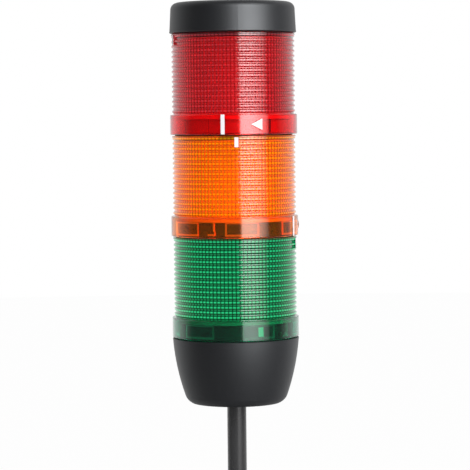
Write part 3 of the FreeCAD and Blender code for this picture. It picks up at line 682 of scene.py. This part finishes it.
def ring_edges(tree, angle, height):
    """Mask of the painted edge glow: 1 on the outlines of the pads, on the stop ribs and on the lugs' feet,
    else 0.
    """
    from_pad = distance_from(tree, angle, FIRST_PAD, PAD_STEP)
    pad_heights = within(tree, height, *PAD_HEIGHTS)
    sides = times(tree, within(tree, from_pad, PAD_ARC / 2 - EDGE_INSET, EDGE_REACH), pad_heights)
    foot_or_head = largest(tree, within(tree, height, *PAD_FOOT), within(tree, height, *PAD_HEAD))
    ends = times(tree, add_math(tree, "LESS_THAN", from_pad, PAD_ARC / 2), foot_or_head)
    from_stop = distance_from(tree, angle, LUG_STOP, LUG_STEP)
    stops = times(tree, within(tree, from_stop, 0.0, EDGE_REACH), pad_heights)
    from_lug = distance_from(tree, angle, LUG_STOP - LUG_BEFORE_STOP, LUG_STEP)
    feet = times(tree, within(tree, from_lug, 0.0, LUG_REACH), within(tree, height, *LUG_FOOT))
    return largest(tree, sides, ends, stops, feet)


def detent_face(tree, angle, height):
    """Mask of the detent's painted glow: 1 on the detent, else 0."""
    near = within(tree, distance_from(tree, angle, DETENT_AT, FULL_TURN), 0.0, DETENT_REACH)
    return times(tree, near, within(tree, height, *DETENT_HEIGHTS))


print("pads:", round(FULL_TURN / PAD_STEP), "lugs:", round(FULL_TURN / LUG_STEP))

# %% Lens: wall group
OUTSIDE_R = 32.4 * MM
INSIDE_R = 32.65 * MM


def build_lens_wall():
    """Masks of a lens: its ridged wall, which takes a painted shade, the painted highlight grid on it, and
    the edges and detent inside its ring, which take a painted glow.
    """
    tree, given, made = new_group(
        "lens_wall",
        [("Joint Height", "NodeSocketFloat", 0.0), ("Turn", "NodeSocketFloat", 0.0)],
        [(name, "NodeSocketFloat") for name in ("Ridged", "Grid", "Edges", "Detent")],
    )
    place = split_axes(tree, object_place(tree))
    x, y = place["X"], place["Y"]
    radius = add_math(tree, "SQRT", add_math(tree, "ADD", times(tree, x, x), times(tree, y, y)))
    turned = times(tree, add_math(tree, "ARCTAN2", x, times(tree, y, -1.0)), 180 / math.pi)
    angle = add_math(tree, "SUBTRACT", turned, given.outputs["Turn"])
    height = add_math(tree, "SUBTRACT", place["Z"], given.outputs["Joint Height"])
    outside = add_math(tree, "GREATER_THAN", radius, OUTSIDE_R)
    inside = add_math(tree, "LESS_THAN", radius, INSIDE_R)
    ridged = times(tree, outside, within(tree, height, RIDGE_MIDDLE, RIDGE_REACH))
    masks = {
        "Ridged": ridged,
        "Grid": times(tree, ridged, painted_grid_glow(tree, angle, height)),
        "Edges": times(tree, ring_edges(tree, angle, height), inside),
        "Detent": times(tree, detent_face(tree, angle, height), inside),
    }
    for name, mask in masks.items():
        tree.links.new(mask, made.inputs[name])
    return tree


LENS_WALL = build_lens_wall()
print("group:", LENS_WALL.name, "with", RIDGES, "ridges and", FLUTES, "flutes")

# %% Lens dyes, painted shade and painted glows
NO_GLOW = (0.0, 0.0, 0.0)
# plain is each lens's dye; ridged is a deeper dye, painted shade between the dots; shadow tints shadow
# rays; glow is painted highlight by mask.
LENS_DYES_AND_PAINTED_LIGHT = {
    "green": dict(
        plain=(0.0, 0.23, 0.12), ridged=(0.0, 0.030, 0.014), shadow=(0.30, 0.80, 0.60),
        glow={"Grid": (0.02, 0.60, 0.22), "Edges": (0.0, 0.10, 0.05), "Detent": (0.06, 0.85, 0.42)},
    ),
    "amber": dict(
        plain=(0.95, 0.25, 0.01), ridged=(0.90, 0.13, 0.002), shadow=(0.85, 0.50, 0.25),
        glow={"Grid": (0.40, 0.26, 0.0), "Edges": (0.50, 0.10, 0.02), "Detent": NO_GLOW},
    ),
    "red": dict(
        plain=(1.0, 0.012, 0.022), ridged=(0.42, 0.005, 0.010), shadow=(0.55, 0.15, 0.15),
        glow={"Grid": (0.20, 0.03, 0.04), "Edges": NO_GLOW, "Detent": NO_GLOW},
    ),
}
print("dyes:", ", ".join(LENS_DYES_AND_PAINTED_LIGHT))

# %% Lens materials
def pass_shadow_rays(tree, shader, tint):
    """Lets shadow rays through a clear piece, tinted, and shows the shader to all other rays."""
    clear = tree.nodes.new("ShaderNodeBsdfTransparent")
    clear.inputs["Color"].default_value = (*tint, 1.0)
    rays = tree.nodes.new("ShaderNodeLightPath")
    blend_shaders(tree, rays.outputs["Is Shadow Ray"], shader.outputs["BSDF"], clear.outputs["BSDF"])


def lens_material(name, level, plain, ridged, shadow, glow):
    """Clear dyed plastic: a dye for plain walls, a deeper dye for ridged walls that is painted shade, a
    shadow's tint, and painted glows by mask.
    """
    material, tree, shader = new_material(name, plain, ior=1.53)
    shader.inputs["Transmission Weight"].default_value = 1.0
    shader.inputs["Coat Weight"].default_value = 0.6
    shader.inputs["Coat Roughness"].default_value = 0.04
    shader.inputs["Emission Strength"].default_value = 1.0
    grain = add_group(tree, GRAIN, Grain_Scale=700.0, Roughness_Low=0.10, Roughness_High=0.16)
    tree.links.new(grain.outputs["Roughness"], shader.inputs["Roughness"])
    wall = add_group(tree, LENS_WALL, Joint_Height=joint_heights[level], Turn=index_angle(level))
    # Painted shade: the ridged wall takes the deeper dye, which keeps it dark between the dots.
    tint_by(tree, shader, wall.outputs["Ridged"], plain, ridged)
    # Painted highlights: the lens emits light through the grid, edge and detent masks, though it is no
    # lamp.
    light = NO_GLOW
    for mask, colour in glow.items():
        light = colour_mix(tree, wall.outputs[mask], light, colour)
    tree.links.new(light, shader.inputs["Emission Color"])
    pass_shadow_rays(tree, shader, shadow)
    return material


for level, colour in enumerate(MODULES):
    dress(lens_material(f"{colour}_clear_plastic", level, **LENS_DYES_AND_PAINTED_LIGHT[colour]), f"{colour}_lens")
print("lenses dressed:", len(MODULES))

# %% [markdown]
# ## The pieces inside
# Carriers and contact heads are plain white mouldings that send light back out through the lens. Pins and
# inserts are brass, screws are zinc-plated steel, the boards have a white lacquer, and the seals are black
# rubber. Metal, lacquer and LEDs are smoother than moulded plastic, so their grain is shallower.

# %% Inner materials
METAL_RELIEF = 0.04 * MM
SMOOTH_RELIEF = 0.03 * MM


def metal(name, colour, low, high, scale, strength=0.1):
    """A metal finish with a shallow grain."""
    return plain_grained(name, colour, low, high, scale, strength, METAL_RELIEF, metallic=1.0)


white_plastic = plain_grained("white_carrier_plastic", (0.80, 0.80, 0.78), 0.38, 0.50, 1200.0)
terminal_green = plain_grained("terminal_plastic", (0.05, 0.20, 0.09), 0.35, 0.45)
nylon = plain_grained("tie_nylon", (0.02, 0.02, 0.022), 0.40, 0.50)
rubber = plain_grained("seal_rubber_black", (0.012, 0.012, 0.012), 0.55, 0.70, 1100.0, strength=0.2)
lacquer = plain_grained("board_lacquer", (0.78, 0.80, 0.78), 0.25, 0.35, 900.0, 0.05, SMOOTH_RELIEF)
phosphor = plain_grained("led_phosphor", (0.90, 0.74, 0.22), 0.12, 0.20, 1500.0, 0.05, SMOOTH_RELIEF)
brass = metal("turned_brass", (0.83, 0.62, 0.30), 0.18, 0.32, 2500.0)
steel = metal("zinc_plated_steel", (0.62, 0.63, 0.65), 0.25, 0.40, 2200.0)
tinned = metal("tinned_ferrule", (0.78, 0.78, 0.76), 0.20, 0.32, 2600.0, strength=0.12)

for colour in MODULES:
    dress(white_plastic, f"{colour}_carrier", f"{colour}_contact_head")
    dress(brass, f"{colour}_contact_pins")
    dress(lacquer, f"{colour}_led_boards")
    dress(phosphor, f"{colour}_leds")
    dress(rubber, f"{colour}_seal")
dress(brass, "threaded_inserts", "base_contact_pins")
dress(steel, "plate_screws", "terminal_screws")
dress(lacquer, "base_board")
dress(terminal_green, "terminal_block")
dress(rubber, "base_seal", "cable_grommet")
dress(nylon, "clamp_tie")
dress(tinned, "end_ferrules")
print("inner finishes done")

# %% [markdown]
# ## Lead jacket, cores, strap and ink
# The jacket is extruded, so it is glossier than the moulded housing, with a waxy sheen. The cores have
# hardly any grain. The strap is woven, shown by two crossing waves in its bump.

# %% Lead materials
WEAVE_SCALE = 260.0
WEAVE_DEPTH = 0.3 * MM

jacket, tree, shader = new_material("lead_jacket_plastic", (0.030, 0.030, 0.031))
add_grain(tree, shader, 900.0, 0.22, 0.32, 0.12, 0.08 * MM)
dress(jacket, lead)

insulation = plain_grained(
    "core_insulation_plastic", (0.04, 0.04, 0.045), 0.30, 0.38, 1500.0, 0.05, SMOOTH_RELIEF,
)
dress(insulation, "lead_cores", "end_cores")

strap, tree, shader = new_material("woven_strap", (0.020, 0.020, 0.024), roughness=0.85)
shader.inputs["Sheen Weight"].default_value = 0.3
weave = []
for direction in ("X", "Z"):
    wave = tree.nodes.new("ShaderNodeTexWave")
    wave.wave_type = "BANDS"
    wave.bands_direction = direction
    wave.inputs["Scale"].default_value = WEAVE_SCALE
    tree.links.new(object_place(tree), wave.inputs["Vector"])
    weave.append(wave.outputs["Fac"])
add_bump(tree, shader, times(tree, *weave), 0.5, WEAVE_DEPTH)
dress(strap, "hank_strap")

ink = plain_grained("white_ink", (0.60, 0.58, 0.60), 0.40, 0.55, 2500.0, 0.1, SMOOTH_RELIEF)
dress(ink, *prints)
print("lead, strap and ink done")

# %% [markdown]
# ## Floor and surroundings
# A plain pale floor lies just below the hank. The world is white where the camera or a ray through the
# lenses looks at it. For glossy rays it is bright behind the stack and dark in front, as in a studio where
# the backdrop is lit and the camera's side isn't: that gives dark fronts and pale rims. The floor follows
# the same rule, and shows a small share of its own paper, so that it keeps the object's shadow.

# %% Floor
FLOOR_GAP = 4.0 * MM
FLOOR_R = 5.0
FLOOR_SIDES = 96
FLOOR_GLOW = 0.97
FLOOR_DARK = 0.12
FLOOR_FADE = dict(start=-0.2, end=1.5)

floor_z = cad_low.z - FLOOR_GAP
bpy.ops.mesh.primitive_circle_add(
    vertices=FLOOR_SIDES, radius=FLOOR_R, fill_type="NGON", location=(0, 0, floor_z),
)
floor = bpy.context.object
floor.name = "floor"
floor_paper, tree, shader = new_material("pale_floor", (0.86, 0.86, 0.86), roughness=0.8)
glow = tree.nodes.new("ShaderNodeEmission")
rays = tree.nodes.new("ShaderNodeLightPath").outputs
looked_at = largest(tree, rays["Is Camera Ray"], rays["Is Transmission Ray"])
mirrored = add_range(tree, split_axes(tree, object_place(tree))["Y"], FLOOR_DARK, 1.0, **FLOOR_FADE)
brightness = largest(tree, times(tree, mirrored, rays["Is Glossy Ray"]), looked_at)
tree.links.new(brightness, glow.inputs["Strength"])
glowing = times(tree, largest(tree, looked_at, rays["Is Glossy Ray"]), FLOOR_GLOW)
blend_shaders(tree, glowing, shader.outputs["BSDF"], glow.outputs["Emission"])
floor.data.materials.append(floor_paper)
print(f"floor at {floor_z / MM:.1f} mm")

# %% World
DARK_SIDE = 0.03
LIT_SIDE = 0.75
AMBIENT = 0.60
SIDE_FADE = dict(start=-0.1, end=0.7)

world = bpy.data.worlds.new("studio")
bpy.context.scene.world = world
world.use_nodes = True
tree = world.node_tree
background = tree.nodes["Background"]
background.inputs["Color"].default_value = (1.0, 1.0, 1.0, 1.0)
rays = tree.nodes.new("ShaderNodeLightPath").outputs
direction = split_axes(tree, tree.nodes.new("ShaderNodeTexCoord").outputs["Generated"])
mirrored = add_range(tree, direction["Y"], DARK_SIDE, LIT_SIDE, **SIDE_FADE)


def choose(factor, when_off, when_on):
    """One of two values, by a factor that is 0 or 1."""
    mix = tree.nodes.new("ShaderNodeMix")
    for label, value in (("Factor", factor), ("A", when_off), ("B", when_on)):
        set_or_link(tree, mix.inputs[label], value)
    return mix.outputs["Result"]


strength = choose(rays["Is Glossy Ray"], AMBIENT, mirrored)
strength = choose(rays["Is Transmission Ray"], strength, 1.0)
strength = choose(rays["Is Camera Ray"], strength, 1.0)
tree.links.new(strength, background.inputs["Strength"])
print("world: ambient", AMBIENT, "lit side", LIT_SIDE)

# %% [markdown]
# ## Lamps
# One large softbox stands to the right of the camera and draws the bright upright band on every piece. It
# fades towards its outer edge, so the band ends sharply on the left and softly on the right. It is dimmer
# near its lower edge too, which the lower pieces mirror, so the band weakens down the stack. The world's
# own even light keeps the shade open.

# %% Lamp helpers
LAMP_AIM = Vector((0.0, 0.0, 0.1))


def softbox(name, azimuth, height, distance, width, tall, radiance):
    """An area lamp that faces the stack; azimuth is from the front, positive to the right."""
    data = bpy.data.lights.new(name, "AREA")
    data.shape = "RECTANGLE"
    data.size = width
    data.size_y = tall
    data.energy = radiance * math.pi * width * tall
    lamp = bpy.data.objects.new(name, data)
    lamp.location = around(distance, azimuth, height)
    lamp.rotation_euler = (lamp.location - LAMP_AIM).to_track_quat("Z", "Y").to_euler()
    lamp.visible_camera = False
    bpy.context.scene.collection.objects.link(lamp)
    return lamp


def fade(lamp, **along):
    """Dims a lamp along its X and Y: stops are (place from 0 to 1, share of its strength)."""
    lamp.data.use_nodes = True
    tree = lamp.data.node_tree
    place = split_axes(tree, tree.nodes.new("ShaderNodeNewGeometry").outputs["Parametric"])
    shares = [add_ramp(tree, place[axis], stops) for axis, stops in along.items()]
    tree.links.new(times(tree, *shares), tree.nodes["Emission"].inputs["Strength"])


print("lamps face", [round(v, 2) for v in LAMP_AIM])

# %% Key lamp
key = softbox(
    "key_softbox", azimuth=37.5, height=0.58, distance=1.6, width=1.70, tall=1.70, radiance=6.8,
)
fade(
    key,
    X=((0.0, 0.75), (0.10, 1.0), (0.40, 1.0), (0.62, 0.72), (0.90, 0.27), (1.0, 0.15)),
    Y=((0.0, 0.40), (0.08, 0.45), (0.16, 0.70), (0.24, 1.0), (1.0, 1.0)),
)
print("lamp:", key.name, [round(v, 2) for v in key.location])
